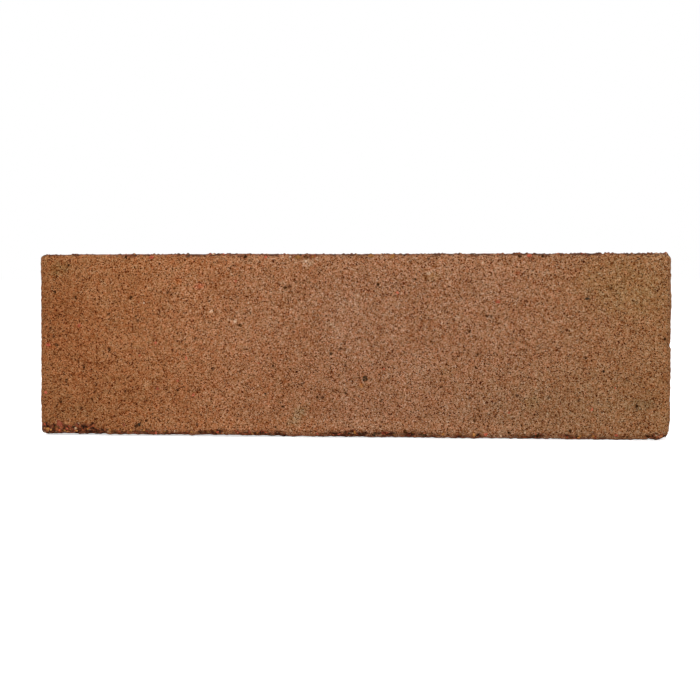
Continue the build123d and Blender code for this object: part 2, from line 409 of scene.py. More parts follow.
def grain_sockets(base):
    """How close each point is to the rim of a grain's socket."""
    rim = np.zeros(len(base))
    for centre, radius in ALL_GRAINS:
        near = np.flatnonzero((np.abs(base - centre) < radius + SOCKET_ROOM).all(axis=1))
        distance = np.linalg.norm(base[near] - centre, axis=1)
        closeness = np.exp(-(((distance - SOCKET * radius) / SOCKET_RIM) ** 2))
        rim[near] = np.maximum(rim[near], closeness)
    return rim


def zones(base, normal):
    """How much each point belongs to the beds, the plain back and the cores."""
    bed = smooth(0.80, 0.97, np.abs(normal[:, 2]))
    back = smooth(0.15, 0.85, normal[:, 1]) * (1 - bed)
    side_depth = np.minimum(HALF_LENGTH - np.abs(base[:, 0]), HALF_WIDTH - np.abs(base[:, 1]))
    core = (side_depth > 2 * BED_RADIUS) * (1 - bed)
    back = back * (1 - core)
    return bed, back, core, side_depth


def torn_edge(base, side_depth, bed_depth):
    """Where the cutting wire has torn the clay along the edges of the beds: 1 there, 0 elsewhere."""
    low = smooth(HEIGHT * 0.6, HEIGHT * 0.4, base[:, 2])
    further = TORN_LOW_LEFT * smooth(*TORN_LEFT_STRETCH, base[:, 0])
    further += TORN_LOW_RIGHT * smooth(*TORN_RIGHT_STRETCH, base[:, 0])
    front_reach = TORN_FRONT_HIGH + (TORN_FRONT_LOW - TORN_FRONT_HIGH) * low + low * further
    reach = TORN_ELSEWHERE + (front_reach - TORN_ELSEWHERE) * near_face(base, 8, 3)
    ragged = layered(base, EDGE_RAGGEDNESS, 40) * (0.3 + 0.7 * reach / TORN_ELSEWHERE)
    return smooth(-TORN_SOFTNESS, TORN_SOFTNESS, reach + ragged - side_depth - bed_depth)


def torn_relief(base):
    """The height of torn clay: crumbs and chips, below the whole surface."""
    crumb_top, _ = bumps(base, *CRUMB_BUMPS, 91)
    chip = smooth(0.25, 0.75, noise(base, CHIP_SIZE, 95)) * CHIP_DEPTH
    return layered(base, TORN_LAYERS, 50) + CRUMB_HEIGHT * (crumb_top - 0.5) - TORN_DEPTH - chip


def core_mouths(base, side_depth, bed_depth):
    """1 at the worn mouths of the cores, 0 elsewhere."""
    distances = [np.abs(np.hypot(base[:, 0] - m, base[:, 1]) - CORE_RADIUS) for m in CORE_MIDDLES]
    mouth = smooth(2.2, 0.6, bed_depth) * (side_depth > 15)
    return mouth * smooth(2.6, 1.0, np.min(distances, axis=0))


def corner_wear(base):
    """How far the front's corners stand out or are worn away, and the notch in the right edge."""
    left_top = np.linalg.norm(base - [-HALF_LENGTH, -HALF_WIDTH + 1, HEIGHT], axis=1)
    left_foot = np.linalg.norm(base - [-HALF_LENGTH, -HALF_WIDTH + 1, 0], axis=1)
    wear = SHARP_TOP_LEFT * smooth(3.4, 1.0, left_top) + SHARP_FOOT_LEFT * smooth(3.6, 1.2, left_foot)
    slope = smooth(7.0, 0.5, base[:, 2]) * smooth(4.0, 0.5, HALF_LENGTH - base[:, 0])
    wear -= CHIPPED_FOOT_RIGHT * slope * near_face(base, 7, 2)
    along, up, size, depth = NOTCH
    distance = np.hypot(base[:, 0] - along, base[:, 2] - HEIGHT / 2 - up)
    return wear - depth * smooth(1.2, 0.3, distance / size)


def out_of_true(base):
    """How far the brick's ends lean, and how far the sanded face's bed edges have sagged in."""
    left = 0.5 - base[:, 0] / LENGTH
    low = 1 - base[:, 2] / HEIGHT
    lean = (LEAN_RIGHT + LEAN_RIGHT_FOOT * low) * smooth(0.9, 1.0, base[:, 0] / HALF_LENGTH)
    lean -= LEAN_LEFT_FOOT * low * smooth(-0.9, -1.0, base[:, 0] / HALF_LENGTH)
    upper_edge = smooth(0.6, 1.0, base[:, 2] / HEIGHT) * smooth(0, -HALF_WIDTH, base[:, 1])
    lower_edge = smooth(0.3, 0.0, base[:, 2] / HEIGHT) * smooth(-30, -HALF_WIDTH, base[:, 1])
    rise = (RISE + RISE_LEFT * left) * lower_edge - (SAG + SAG_LEFT * left) * upper_edge
    return np.column_stack([lean, np.zeros(len(base)), rise])


def real_surface(base, normal):
    """Moves points of the ideal brick to its real surface. Also gives what the materials need:
    where the clay is torn, how much painted shade a point gets, and the sand's tint."""
    bed, back, core, side_depth = zones(base, normal)
    bed_depth = np.minimum(base[:, 2], HEIGHT - base[:, 2])
    sand = np.clip(1 - bed - back - core, 0, 1)
    front = sand * smooth(0.5, 0.9, -normal[:, 1])

    grain_top, _ = bumps(base, *SAND_BUMPS, 11)
    height = sand * (layered(base, SAND_LAYERS, 1) + SAND_HEIGHT * (grain_top - 0.4))
    height += bed * layered(base, BED_LAYERS, 10)
    height += back * layered(base, BACK_LAYERS, 20)
    height += core * layered(base, CORE_LAYERS, 30)

    pit = pits(base, PITS, 71)
    dragged_pit = bed * pits(base * DRAG_STRETCH, DRAGGED_PITS, 81)
    pit_depth = (sand - front) * END_PIT + back * BACK_PIT + bed * BED_PIT + core * CORE_PIT
    tint, speck = front_marks(base, front)
    rim = grain_sockets(base)
    height -= pit_depth * pit + DRAGGED_PIT * dragged_pit + SPECK_DEPTH * speck + SOCKET_DEPTH * rim

    torn = torn_edge(base, side_depth, bed_depth)
    height = height * (1 - torn) + torn_relief(base) * torn
    burr = bed * smooth(3.0, 1.8, side_depth) * near_face(base, 8, 3) * (base[:, 2] > HEIGHT / 2)
    burr_top, burr_kind = bumps(base, *BURR_BUMPS, 101)
    burr_top *= smooth(0.2, 0.7, burr_kind)
    height += burr * (TORN_DEPTH * torn + BURR_HEIGHT * burr_top)
    torn = np.maximum(torn, burr * smooth(0.0, 0.3, burr_top))

    end_arris = sand * smooth(3.0, 1.0, HALF_LENGTH - np.abs(base[:, 0])) * near_face(base, 5, 2)
    lip = smooth(0.75, 0.25, HEIGHT - base[:, 2]) * near_face(base, 3.2, 2.4)
    foot = smooth(1.2, 0.5, base[:, 2]) * near_face(base, 3.2, 2.4)
    height += (end_arris + 1.2 * lip + 1.2 * foot) * layered(base, ARRIS_LAYERS, 110)
    height += core_mouths(base, side_depth, bed_depth) * layered(base, MOUTH_LAYERS, 61)
    height += corner_wear(base)

    points = base + normal * height[:, None] + out_of_true(base)
    points[:, 2] = np.maximum(points[:, 2], 0)

    # Painted shade: pits, specks, sockets' rims and dragged pits are darkened, as are the crevices
    # between sand grains, a strip along the sanded face's right edge and a broken line along its upper
    # edge
    pit_shade = 0.8 * pit * (1 - torn) * (1 - front)
    dark = np.maximum.reduce([pit_shade, speck, 0.3 * rim, 0.7 * dragged_pit])
    painted_shade = sand * (1 - torn) * np.clip(0.5 - grain_top, 0, 1) * 0.10
    from_right = HALF_LENGTH - base[:, 0] - 0.8 * noise(base, 2.2, 63)
    painted_shade += 0.35 * front * smooth(1.6, 0.2, from_right)
    painted_shade += lip * smooth(-0.05, 0.2, layered(base, LIP_SHADE, 64))
    dark = np.clip(np.clip(dark, 0, 1) + painted_shade, 0, 1)
    return points, {"torn": torn, "dark": dark, "tint": tint}


def hidden(points):
    """What the materials need for points inside the brick, where sand and clay meet."""
    count = len(points)
    return points, {"torn": np.zeros(count), "dark": np.zeros(count), "tint": np.ones((count, 3))}


# ---- panels and pieces ----

# A coat's back: how far in it lies, its rows, and the room beside a corner's columns and its ends
COAT_BACK = COAT + 0.35
BACK_ROWS, BEND_ROOM, END_ROOM = 11, 1.5, 0.3
# How far a lattice is shaken, as a share of its pitch
SHAKE = 0.35
# A bed's fine strip by the sanded face, and how far inner points keep from the rim there, from
# the rim elsewhere, from a corner and from a core's mouth
FINE_STRIP = 4.0
FINE_ROOM, BED_ROOM, CORNER_ROOM, MOUTH_ROOM = 0.25, 0.5, 0.9, 0.45
SHARP_ANGLE = math.radians(75)


def even(start, end, pitch):
    """Evenly spaced values from start to end, about pitch apart."""
    return np.linspace(start, end, max(2, round(abs(end - start) / pitch) + 1))


def through(places, pitches):
    """Evenly spaced values from place to place, at one pitch or at one for each stretch."""
    pitches = np.broadcast_to(pitches, len(places) - 1)
    parts = [even(*stretch)[:-1] for stretch in zip(places, places[1:], pitches)]
    return np.concatenate([*parts, places[-1:]])


def grid_panel(surface, across, along):
    """A panel of quads over every pair of values."""
    first, second = np.meshgrid(across, along, indexing="ij")
    points, masks = surface(first.ravel(), second.ravel())
    index = np.arange(first.size).reshape(first.shape)
    quads = np.stack([index[:-1, :-1], index[1:, :-1], index[1:, 1:], index[:-1, 1:]], axis=-1)
    return points, masks, [list(quad) for quad in quads.reshape(-1, 4).tolist()]


def loop_edges(loops):
    """The edges of closed loops of points that stand one after the other in a list."""
    edges, start = [], 0
    for loop in loops:
        count = len(loop)
        edges += [(start + n, start + (n + 1) % count) for n in range(count)]
        start += count
    return edges


def filled_panel(surface, loops, inner):
    """A panel of triangles inside the first loop and outside the others, with extra inner points."""
    flat = np.concatenate([*loops, inner])
    vertices, _, faces, origins, _, _ = delaunay_2d_cdt(
        [Vector(point) for point in flat], loop_edges(loops), [], 1, 1e-7
    )
    assert len(vertices) == len(flat)
    order = np.array([origin[0] for origin in origins])
    middles = flat[order[np.array(faces)]].mean(axis=1)
    keep = np.ones(len(faces), bool)
    for loop in loops[1:]:
        centre = loop.mean(axis=0)
        hole_radius = np.linalg.norm(loop - centre, axis=1).min()
        keep &= np.linalg.norm(middles - centre, axis=1) > hole_radius * 0.9999
    points, masks = surface(flat)
    return points, masks, order[np.array(faces)[keep]].tolist()


def rectangle_loop(row, column):
    """The outline of the rectangle that a row and a column of values span, as one loop of points."""
    bottom, top = (row[:-1], column[0]), (row[:0:-1], column[-1])
    right, left = (row[-1], column[:-1]), (row[0], column[:0:-1])
    sides = [np.column_stack(np.broadcast_arrays(*side)) for side in (bottom, right, top, left)]
    return np.concatenate(sides)


def inner_lattice(low, high, pitch, seed):
    """Points in a shaken triangular lattice between two corners."""
    rows = np.arange(low[1] + pitch, high[1] - pitch / 2, pitch * math.sqrt(3) / 2)
    points = []
    for number, row in enumerate(rows):
        start = low[0] + pitch * (1 + 0.5 * (number % 2))
        column = np.arange(start, high[0] - pitch / 2, pitch)
        points.append(np.column_stack([column, np.full(len(column), row)]))
    points = np.concatenate(points)
    whole = np.round(np.column_stack([points / pitch * 16, np.zeros(len(points))]))
    shake = np.column_stack([scatter(whole, seed), scatter(whole, seed + 1)]) - 0.5
    return points + shake * pitch * SHAKE


def skin(along, up):
    """The real surface of the sides."""
    return real_surface(*ideal_side(along, up))


def behind_coat(pairs):
    """Where the sand coat meets the clay. On the coat's edges that is the outer surface itself."""
    along, up = pairs.T
    on_edge = (up <= COAT_EDGE) | (up >= PROFILE - COAT_EDGE)
    share = (up - COAT_EDGE) / (PROFILE - 2 * COAT_EDGE)
    low = profile(np.array([COAT_EDGE]))[1][0]
    plan, _ = outline(along, np.full(len(along), COAT_BACK))
    points = np.column_stack([plan, low + share * (HEIGHT - 2 * low)])
    outer, _ = skin(*pairs[on_edge].T)
    points[on_edge] = outer
    return hidden(points)


def thickness_panel(along, column):
    """The strip between the outer surface and the back of the coat at one place along the outline."""
    pairs = np.column_stack([np.full(len(column), along), column])
    outer, _ = skin(*pairs.T)
    inner, _ = behind_coat(pairs)
    points, masks = hidden(np.concatenate([outer, inner]))
    count = len(column)
    return points, masks, [[n, n + 1, count + n + 1, count + n] for n in range(count - 1)]


def interface_panel(row, column):
    """The whole of one coat's back."""
    start, end = row[0], row[-1]
    rows = np.linspace(column[0], column[-1], BACK_ROWS)[1:-1]
    corners = [corner for corner in (0.0, SIDE_ENDS[0]) if start <= corner < end]
    bends = [corner + ARC * n / 4 for corner in corners for n in range(5)]
    columns = [s for s in even(start, end, HIDDEN_PITCH) if all(abs(s - b) > BEND_ROOM for b in bends)]
    places = [s for s in columns + bends if start + END_ROOM < s < end - END_ROOM]
    inner = np.array([(s, r) for s in places for r in rows])
    return filled_panel(behind_coat, [rectangle_loop(row, column)], inner)


def set_values(mesh, name, values):
    """Gives every point of a mesh a number, or three, that its material reads."""
    kind, part = ("FLOAT_VECTOR", "vector") if values.ndim == 2 else ("FLOAT", "value")
    data = mesh.attributes.new(name, kind, "POINT").data
    data.foreach_set(part, values.astype(np.float32).ravel())


def make_piece(node, panels, material):
    """Joins panels into one closed mesh, which stands for a CAD node."""
    points = np.concatenate([panel[0] for panel in panels])
    faces, start = [], 0
    for panel_points, _, panel_faces in panels:
        faces += [[start + corner for corner in face] for face in panel_faces]
        start += len(panel_points)
    _, first, same = np.unique(np.round(points, 5), axis=0, return_index=True, return_inverse=True)
    same = same.ravel()
    merged = [list(dict.fromkeys(same[face].tolist())) for face in faces]
    merged = [corners for corners in merged if len(corners) > 2]
    mesh = bpy.data.meshes.new(node)
    mesh.from_pydata((points[first] * MM).tolist(), [], merged)
    for key in panels[0][1]:
        set_values(mesh, key, np.concatenate([panel[1][key] for panel in panels])[first])
    mesh.validate()
    point_outwards(mesh)
    finish_piece(node, mesh, material)


def point_outwards(mesh):
    """Turns every face's normal outwards."""
    work = bmesh.new()
    work.from_mesh(mesh)
    bmesh.ops.recalc_face_normals(work, faces=work.faces)
    work.to_mesh(mesh)
    work.free()


def finish_piece(node, mesh, material):
    """Links a mesh as a piece that rides on the brick and stands for its CAD node."""
    mesh.shade_smooth()
    mesh.set_sharp_from_angle(angle=SHARP_ANGLE)
    mesh.materials.append(material)
    piece = bpy.data.objects.new(node, mesh)
    bpy.context.scene.collection.objects.link(piece)
    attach(piece, "root")
    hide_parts(node)


# ---- node materials ----


class Shader:
    """A short way to write a material's nodes. Sizes in it are in millimetres."""

    def __init__(self, name):
        self.material = bpy.data.materials.new(name)
        self.material.use_nodes = True
        self.tree = self.material.node_tree
        self.tree.nodes.clear()
        self.surface = self.add("ShaderNodeBsdfPrincipled")
        self.add("ShaderNodeOutputMaterial", self.surface.outputs[0])
        place = self.add("ShaderNodeTexCoord").outputs["Object"]
        self.place = self.scaled(place, 1 / MM)

    def feed(self, socket, value):
        if isinstance(value, bpy.types.NodeSocket):
            self.tree.links.new(value, socket)
        else:
            socket.default_value = value

    def add(self, kind, *values, **settings):
        """A new node, its first inputs fed with values."""
        node = self.tree.nodes.new(kind)
        for key, value in settings.items():
            setattr(node, key, value)
        for socket, value in zip(node.inputs, values):
            self.feed(socket, value)
        return node

    def number(self, operation, *values):
        return self.add("ShaderNodeMath", *values, operation=operation).outputs[0]

    def vector(self, operation, *values):
        return self.add("ShaderNodeVectorMath", *values, operation=operation).outputs[0]

    def scaled(self, vector, factor):
        node = self.add("ShaderNodeVectorMath", vector, operation="SCALE")
        self.feed(node.inputs["Scale"], factor)
        return node.outputs[0]

    def stretch(self, value, low, high, to_low=0.0, to_high=1.0, kind="LINEAR"):
        """Takes low to high on to to_low to to_high, and goes no further."""
        values = (value, low, high, to_low, to_high)
        return self.add("ShaderNodeMapRange", *values, interpolation_type=kind).outputs[0]

    def mix(self, share, first, second, blend="MIX"):
        node = self.add("ShaderNodeMix", share, data_type="RGBA", blend_type=blend)
        self.feed(node.inputs[6], first)
        self.feed(node.inputs[7], second)
        return node.outputs[2]

    def multiply(self, first, second):
        return self.mix(1.0, first, second, "MULTIPLY")

    def brighten(self, colour, value):
        node = self.add("ShaderNodeCombineColor", value, value, value)
        return self.multiply(colour, node.outputs[0])

    def mottle(self, colour, size, detail, spread, darkest, brightest):
        """A colour whose brightness wanders, in features about size across."""
        value = self.stretch(self.noise(size, detail), 0.5 - spread, 0.5 + spread, darkest, brightest)
        return self.brighten(colour, value)

    def noise(self, size, detail=2.0, output="Fac"):
        node = self.add("ShaderNodeTexNoise", self.place)
        self.feed(node.inputs["Scale"], 1 / size)
        self.feed(node.inputs["Detail"], detail)
        return node.outputs[output]

    def warped_place(self, size, distance):
        """The place, shifted at random by up to about half the distance."""
        shift = self.vector("SUBTRACT", self.noise(size, output="Color"), (0.5, 0.5, 0.5))
        return self.vector("ADD", self.place, self.scaled(shift, distance))

    def cells(self, size, place=None):
        """The distance to the middle of a random cell, and three random numbers of the cell."""
        node = self.add("ShaderNodeTexVoronoi", self.place if place is None else place)
        self.feed(node.inputs["Scale"], 1 / size)
        parts = self.add("ShaderNodeSeparateColor", node.outputs["Color"])
        return node.outputs["Distance"], *parts.outputs

    def ramp(self, value, stops, interpolation="LINEAR"):
        node = self.add("ShaderNodeValToRGB", value)
        node.color_ramp.interpolation = interpolation
        elements = node.color_ramp.elements
        while len(elements) < len(stops):
            elements.new(0.5)
        for element, (position, colour) in zip(elements, stops):
            element.position = position
            element.color = (*np.full(3, colour, float), 1.0)
        return node.outputs[0]

    def mesh_value(self, name, output="Fac"):
        return self.add("ShaderNodeAttribute", attribute_name=name).outputs[output]

    def bump(self, height, strength):
        node = self.add("ShaderNodeBump", strength, MM)
        self.feed(node.inputs["Height"], height)
        self.feed(self.surface.inputs["Normal"], node.outputs[0])

    def done(self, colour, roughness, specular):
        self.feed(self.surface.inputs["Base Color"], colour)
        self.feed(self.surface.inputs["Roughness"], roughness)
        self.feed(self.surface.inputs["Specular IOR Level"], specular)
        return self.material


def linear(red, green, blue):
    """A colour given as 0 to 255 screen values, as the linear numbers that Blender works in."""
    values = [value / 255 for value in (red, green, blue)]
    return tuple(v / 12.92 if v <= 0.04045 else ((v + 0.055) / 1.055) ** 2.4 for v in values)


def paint(*colour):
    return (*linear(*colour), 1.0)


SAND_COLOUR = (142, 93, 58)
CLAY_COLOUR = (130, 82, 59)

# The sand's drift of colour from the left end to the right one, and how its places wander
SAND_DRIFT = (
    (0.00, (0.90, 0.79, 0.62)),
    (0.15, (1.05, 0.96, 0.83)),
    (0.30, (1.07, 1.03, 1.00)),
    (0.50, (1.02, 1.08, 1.22)),
    (0.75, (1.01, 1.07, 1.18)),
    (1.00, (0.91, 0.95, 0.88)),
)
DRIFT_SIZE, DRIFT_WANDER = 24.0, 0.12
SAND_SIZE, CLUMP_SIZE = 0.26, 0.468
SAND_WARP_SIZE, SAND_WARP = 0.6, 0.35
CLUMP_TONES = (0.88, 1.12)
# How bright single grains are beside their average, as a share of them all
GRAIN_TONES = (
    (0.00, 0.00),
    (0.12, 0.12),
    (0.25, 0.68),
    (0.45, 1.08),
    (0.78, 1.48),
    (0.94, 1.98),
    (1.00, 2.40),
)
# The colour that goes with a brightness: dark sand is browner, light sand paler
BRIGHTEST = 3.0
TONE_COLOURS = (
    (0.00, (0.06, 0.01, 0.00)),
    (0.07, (0.34, 0.14, 0.02)),
    (0.17, (0.63, 0.46, 0.28)),
    (0.33, 1),
    (0.56, (1.46, 1.78, 2.30)),
    (0.85, (2.00, 2.85, 4.20)),
)
GRAIN_HUES = ((0, (1.08, 0.94, 0.88)), (0.5, 1), (1, (0.94, 1.04, 1.13)))
SAND_HUES = ((0.3, (1.035, 0.965, 0.945)), (0.5, 1), (0.7, (0.972, 1.02, 1.035)))
SAND_HUE_SIZE = 1.9
# How brightness wanders: feature size, detail, spread of the noise, darkest and brightest share
SAND_MOTTLES = (
    (1.5, 3.0, 0.25, 0.86, 1.14),
    (7.0, 2.0, 0.25, 0.92, 1.08),
    (24.0, 2.0, 0.25, 0.92, 1.08),
)
CLAY_MOTTLE = (2.2, 3.0, 0.25, 0.84, 1.14)
TORN_MOTTLE = (2.4, 2.0, 0.20, 0.68, 1.40)
# Scattered specks: spacing, radius, the share of places that hold one, and colour
SAND_SPECKS = (
    (2.2, 0.30, 0.35, (66, 38, 24)),
    (6.0, 0.42, 0.14, (176, 84, 64)),
    (6.5, 0.30, 0.30, (190, 164, 134)),
    (9.0, 0.36, 0.25, (42, 38, 26)),
)
CLAY_SPECKS = (
    (2.8, 0.40, 0.30, (58, 36, 28)),
    (5.0, 0.60, 0.25, (166, 78, 54)),
    (7.0, 0.50, 0.25, (178, 142, 100)),
)
CLAY_GRAIN_SIZE, CLAY_TONES = 0.6, (0.72, 1.25)
BLOTCH_SIZE = 18.0
BLOTCHES = ((0.3, (0.88, 0.86, 0.86)), (0.7, (1.10, 1.10, 1.08)))
# What the torn clay is made of, as shares of its crumbs; the near-black darkest ones are partly
# painted shade among the crumbs
CRUMBS = (
    (0.00, linear(36, 20, 13)),
    (0.12, linear(86, 45, 27)),
    (0.32, linear(116, 64, 39)),
    (0.56, linear(149, 83, 51)),
    (0.74, linear(174, 77, 53)),
    (0.83, linear(192, 127, 66)),
    (0.88, linear(58, 52, 38)),
    (0.95, linear(204, 166, 128)),
)
CRUMB_SIZE, FINE_CRUMB_SIZE, FINE_SHARE = 0.72, 0.33, 0.3
CRUMB_WARP_SIZE, CRUMB_WARP = 1.2, 0.5
CRUMB_TONES = ((0, 0.5), (1, 1.5))
# Painted shade in the gaps between crumbs: how far from its middle a crumb gets darker, and its
# brightness there
CRUMB_GAPS = (0.35, 0.75, 1.0, 0.45)
# Heights of what is too fine for the mesh, in mm
GRAIN_BUMP, TONE_BUMP, CRUMB_BUMP, GRIT_BUMP = 0.10, 0.04, 0.16, 0.12
BUMP_STRENGTH, GRIT_BUMP_STRENGTH = 0.8, 0.7
# How much the painted shade of the mesh's pits, crevices and edges darkens a colour, and towards which
# one
SAND_PAINTED_SHADE, CLAY_PAINTED_SHADE = (0.85, (54, 30, 16)), (0.7, (50, 30, 23))
# Roughness of the darkest and the lightest grains, and the specular level
SAND_ROUGHNESS, SAND_SHINE = (0.96, 0.84), 0.06
CLAY_ROUGHNESS, CLAY_SHINE = (0.95, 0.84), 0.1
# Grit: sizes of its mottle, fine mottle, blotches and pores, and the fine mottle's brightness
GRIT_MOTTLE, GRIT_FINE_MOTTLE, GRIT_BLOTCH, GRIT_PORE = 0.35, 0.24, 0.9, 0.25
GRIT_TONES = (0.60, 1.40)
# Dust on the grit: feature size and detail, between which values of that noise it grows, its most
DUST_NOISE, DUST_EDGE, DUST_MOST = (0.5, 3.0), (0.55, 0.63), 0.65


def torn_clay(shader):
    """The colour and height of clay that the wire has torn open, with painted shade between its
    crumbs.
    """
    place = shader.warped_place(CRUMB_WARP_SIZE, CRUMB_WARP)
    distance, pick, shade, _ = shader.cells(CRUMB_SIZE, place)
    _, fine_pick, _, _ = shader.cells(FINE_CRUMB_SIZE)
    coarse = shader.ramp(pick, CRUMBS, "CONSTANT")
    colour = shader.mix(FINE_SHARE, coarse, shader.ramp(fine_pick, CRUMBS, "CONSTANT"))
    colour = shader.multiply(colour, shader.ramp(shade, CRUMB_TONES))
    colour = shader.mottle(colour, *TORN_MOTTLE)
    # Painted shade: each crumb darker towards its edge
    colour = shader.brighten(colour, shader.stretch(distance, *CRUMB_GAPS, "SMOOTHSTEP"))
    height = shader.number("MULTIPLY", shader.number("SUBTRACT", 0.8, distance), CRUMB_BUMP)
    return colour, height


def specked(shader, colour, specks):
    """Scatters specks of other colours over a colour."""
    for spacing, radius, share, speck_colour in specks:
        distance, pick, shade, _ = shader.cells(spacing)
        soft = radius / spacing
        inside = shader.stretch(distance, soft * 1.25, soft * 0.6, kind="SMOOTHSTEP")
        chosen = shader.number("MULTIPLY", inside, shader.number("LESS_THAN", pick, share))
        strength = shader.stretch(shade, 0, 1, 0.45, 0.95, "SMOOTHSTEP")
        colour = shader.mix(shader.number("MULTIPLY", chosen, strength), colour, paint(*speck_colour))
    return colour


def painted_shade_and_torn_clay(shader, colour, height, dark, roughness, shine):
    """Finishes sand or clay: paints shade into its pits, crevices and edges, and puts torn clay where
    the mesh is torn.
    """
    most, shade_colour = dark
    # Painted shade, as much as the mesh's dark value says
    share = shader.number("MULTIPLY", shader.mesh_value("dark"), most)
    colour = shader.mix(share, colour, paint(*shade_colour))
    torn_colour, torn_height = torn_clay(shader)
    torn = shader.mesh_value("torn")
    height = shader.number("MULTIPLY", height, shader.number("SUBTRACT", 1, torn))
    shader.bump(shader.number("MULTIPLY_ADD", torn_height, torn, height), BUMP_STRENGTH)
    return shader.done(shader.mix(torn, colour, torn_colour), roughness, shine)


def facing_sand():
    """Sand grains fired on to clay, each with its own tone, and torn clay where the coat ends."""
    shader = Shader("facing_sand")
    place = shader.warped_place(SAND_WARP_SIZE, SAND_WARP)
    distance, tone, _, _ = shader.cells(SAND_SIZE, place)
    _, clump_tone, hue, _ = shader.cells(CLUMP_SIZE, place)

    apart = shader.add("ShaderNodeSeparateXYZ", shader.place)
    wander = shader.number("SUBTRACT", shader.noise(DRIFT_SIZE), 0.5)
    along = shader.stretch(apart.outputs[0], -HALF_LENGTH, HALF_LENGTH)
    along = shader.number("MULTIPLY_ADD", wander, DRIFT_WANDER, along)
    colour = shader.multiply(paint(*SAND_COLOUR), shader.ramp(along, SAND_DRIFT))

    brightness = shader.ramp(tone, GRAIN_TONES)
    brightness = shader.brighten(brightness, shader.stretch(clump_tone, 0, 1, *CLUMP_TONES))
    for mottle in SAND_MOTTLES:
        brightness = shader.mottle(brightness, *mottle)
    share = shader.number("DIVIDE", brightness, BRIGHTEST)
    hue_noise = shader.noise(SAND_HUE_SIZE)
    for value, stops in ((share, TONE_COLOURS), (hue, GRAIN_HUES), (hue_noise, SAND_HUES)):
        colour = shader.multiply(colour, shader.ramp(value, stops))
    colour = specked(shader, colour, SAND_SPECKS)
    colour = shader.multiply(colour, shader.mesh_value("tint", "Vector"))
    height = shader.number("MULTIPLY", shader.number("SUBTRACT", 0.75, distance), GRAIN_BUMP)
    height = shader.number("MULTIPLY_ADD", tone, TONE_BUMP, height)
    roughness = shader.stretch(tone, 0, 1, *SAND_ROUGHNESS)
    return painted_shade_and_torn_clay(shader, colour, height, SAND_PAINTED_SHADE, roughness, SAND_SHINE)


def fired_clay():
    """The clay of the body: wire-cut beds, a plain back and core walls, torn along its edges."""
    shader = Shader("fired_clay")
    distance, tone, hue, _ = shader.cells(CLAY_GRAIN_SIZE)
    blotches = shader.ramp(shader.noise(BLOTCH_SIZE, 3.0), BLOTCHES)
    colour = shader.multiply(paint(*CLAY_COLOUR), blotches)
    colour = shader.brighten(colour, shader.stretch(tone, 0, 1, *CLAY_TONES))
    colour = shader.mottle(colour, *CLAY_MOTTLE)
    colour = specked(shader, colour, CLAY_SPECKS)
    height = shader.number("MULTIPLY", shader.number("SUBTRACT", 0.75, distance), GRAIN_BUMP)
    roughness = shader.stretch(hue, 0, 1, *CLAY_ROUGHNESS)
    return painted_shade_and_torn_clay(shader, colour, height, CLAY_PAINTED_SHADE, roughness, CLAY_SHINE)


def grit_material(name, dark, light, roughness, specular):
    """Crushed stone or grog of one kind, mottled between two colours and dusted with sand."""
    shader = Shader(name)
    _, tone, _, _ = shader.cells(GRIT_MOTTLE)
    _, fine_tone, _, _ = shader.cells(GRIT_FINE_MOTTLE)
    wide = shader.stretch(shader.noise(GRIT_BLOTCH, 3.0), 0.3, 0.7, 0.0, 0.5)
    colour = shader.mix(shader.number("MULTIPLY_ADD", tone, 0.5, wide), paint(*dark), paint(*light))
    colour = shader.brighten(colour, shader.stretch(fine_tone, 0, 1, *GRIT_TONES))
    colour = shader.brighten(colour, shader.mesh_value("shade"))
    dust = shader.stretch(shader.noise(*DUST_NOISE), *DUST_EDGE, 0.0, DUST_MOST, "SMOOTHSTEP")
    colour = shader.mix(dust, colour, paint(*SAND_COLOUR))
    shader.bump(shader.number("MULTIPLY", shader.noise(GRIT_PORE), GRIT_BUMP), GRIT_BUMP_STRENGTH)
    return shader.done(colour, roughness, specular)


# ---- build the pieces ----

sand_material = facing_sand()
clay_material = fired_clay()

# Values shared by neighbouring panels, so that their edges meet point for point
column_ends = (COAT_EDGE, EDGE, PROFILE - EDGE, PROFILE - COAT_EDGE)
column = through(column_ends, FRONT_PITCH)
whole_column = through((0.0, *column_ends, PROFILE), FRONT_PITCH)
lips = (even(0.0, COAT_EDGE, FRONT_PITCH), even(PROFILE - COAT_EDGE, PROFILE, FRONT_PITCH))
front_row = through((0.0, ARC, SIDE_ENDS[0], FRONT_END), FRONT_PITCH)
right_row = even(FRONT_END, RIGHT_END, END_PITCH)
back_row = through((RIGHT_END, RIGHT_END + ARC, SIDE_ENDS[2], BACK_END), BACK_PITCH)
left_row = even(BACK_END, OUTLINE, END_PITCH)

# Each coat's row of values, and where along the outline its two edges are
coats = {
    "front_sand_coat": (front_row, (0.0, FRONT_END)),
    "right_end_sand_coat": (right_row, (FRONT_END, RIGHT_END)),
    "left_end_sand_coat": (left_row, (BACK_END, 0.0)),
}
interfaces = {name: interface_panel(row, column) for name, (row, _) in coats.items()}
shoulders = {place: thickness_panel(place, column) for place in (0.0, FRONT_END, RIGHT_END, BACK_END)}
for name, (row, ends) in coats.items():
    panels = [grid_panel(skin, row, column), interfaces[name]]
    panels += [shoulders[place] for place in ends]
    make_piece(name, panels, sand_material)

core_angles = np.linspace(0, 2 * math.pi, round(2 * math.pi * CORE_RADIUS / CORE_PITCH) + 1)
core_ends = (0.0, CORE_EDGE, CORE_PROFILE - CORE_EDGE, CORE_PROFILE)
core_column = through(core_ends, (MOUTH_PITCH, CORE_PITCH, MOUTH_PITCH))


